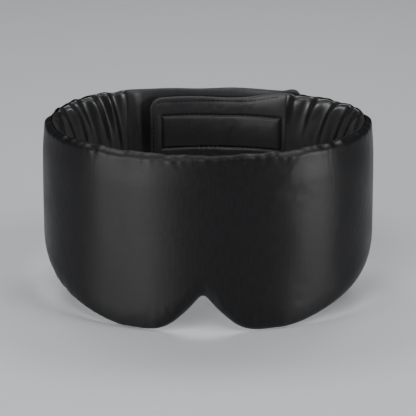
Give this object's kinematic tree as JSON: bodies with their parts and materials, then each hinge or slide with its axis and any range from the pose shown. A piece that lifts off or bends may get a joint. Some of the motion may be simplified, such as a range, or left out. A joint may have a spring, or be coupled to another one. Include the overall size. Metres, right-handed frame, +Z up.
{
  "type": "sleep eye mask",
  "caption": "Padded wrap-round sleep mask: smooth satin front with a nose notch, gathered elastic sides and overlapping hook-and-loop tabs at the back.",
  "frame": {"origin": "centre of the bounding box in plan, on the plane of the two front lobes' flat lower edges", "axes": "+Z up towards the rim as worn, -Y to the front of the face, +X to the viewer's right (the wearer's left)"},
  "size_m": [0.2012, 0.1542, 0.108],
  "materials": {
    "satin_shell": "smooth black satin with a soft sheen",
    "satin_lining": "smooth black satin lining",
    "foam": "soft open-cell foam sheet",
    "blackout_felt": "dense light-blocking felt",
    "wadding": "loose polyester wadding",
    "woven_elastic": "woven flat elastic",
    "nylon_tape": "woven nylon hook-and-loop tape",
    "sewing_thread": "polyester sewing thread"
  },
  "bodies": {
    "front": {"front_outer_shell": "satin_shell", "front_lining": "satin_lining", "front_foam_pad": "foam", "front_blackout_layer": "blackout_felt", "front_seam_thread": "sewing_thread", "left_side_seam_thread": "sewing_thread", "right_side_seam_thread": "sewing_thread"},
    "left_side": {"left_side_outer": "satin_shell", "left_side_lining": "satin_lining", "left_side_wadding": "wadding", "left_side_top_elastic": "woven_elastic", "left_side_bottom_elastic": "woven_elastic", "left_tab_joining_thread": "sewing_thread"},
    "right_side": {"right_side_outer": "satin_shell", "right_side_lining": "satin_lining", "right_side_wadding": "wadding", "right_side_top_elastic": "woven_elastic", "right_side_bottom_elastic": "woven_elastic", "right_tab_joining_thread": "sewing_thread"},
    "outer_tab": {"outer_tab_outer_ply": "satin_shell", "outer_tab_inner_ply": "satin_lining", "outer_tab_padding": "wadding", "loop_tape": "nylon_tape", "loop_tape_thread": "sewing_thread", "outer_tab_edge_thread": "sewing_thread"},
    "inner_tab": {"inner_tab_outer_ply": "satin_shell", "inner_tab_inner_ply": "satin_lining", "inner_tab_padding": "wadding", "hook_tape": "nylon_tape", "hook_tape_thread": "sewing_thread", "inner_tab_edge_thread": "sewing_thread"}
  },
  "joints": [
    {"name": "left_side_stretch", "type": "slide", "parent": "front", "child": "left_side", "axis": [0, 1, 0], "range_m": [0, 0.03], "stiffness_N_per_m": 160, "deforming": ["left_side_outer", "left_side_lining", "left_side_wadding", "left_side_top_elastic", "left_side_bottom_elastic"]},
    {"name": "right_side_stretch", "type": "slide", "parent": "front", "child": "right_side", "axis": [0, 1, 0], "range_m": [0, 0.03], "stiffness_N_per_m": 160, "deforming": ["right_side_outer", "right_side_lining", "right_side_wadding", "right_side_top_elastic", "right_side_bottom_elastic"]},
    {"name": "outer_tab_peel", "type": "hinge", "parent": "left_side", "child": "outer_tab", "pos_m": [-0.05254, 0.0668, 0], "axis": [0, 0, 1], "range_deg": [0, 120]},
    {"name": "inner_tab_fold", "type": "hinge", "parent": "right_side", "child": "inner_tab", "pos_m": [0.04832, 0.0561, 0], "axis": [0, 0, 1], "range_deg": [0, 50]}
  ],
  "couplings": [
    {"joint": "right_side_stretch", "follows": "left_side_stretch", "ratio": 1}
  ]
}
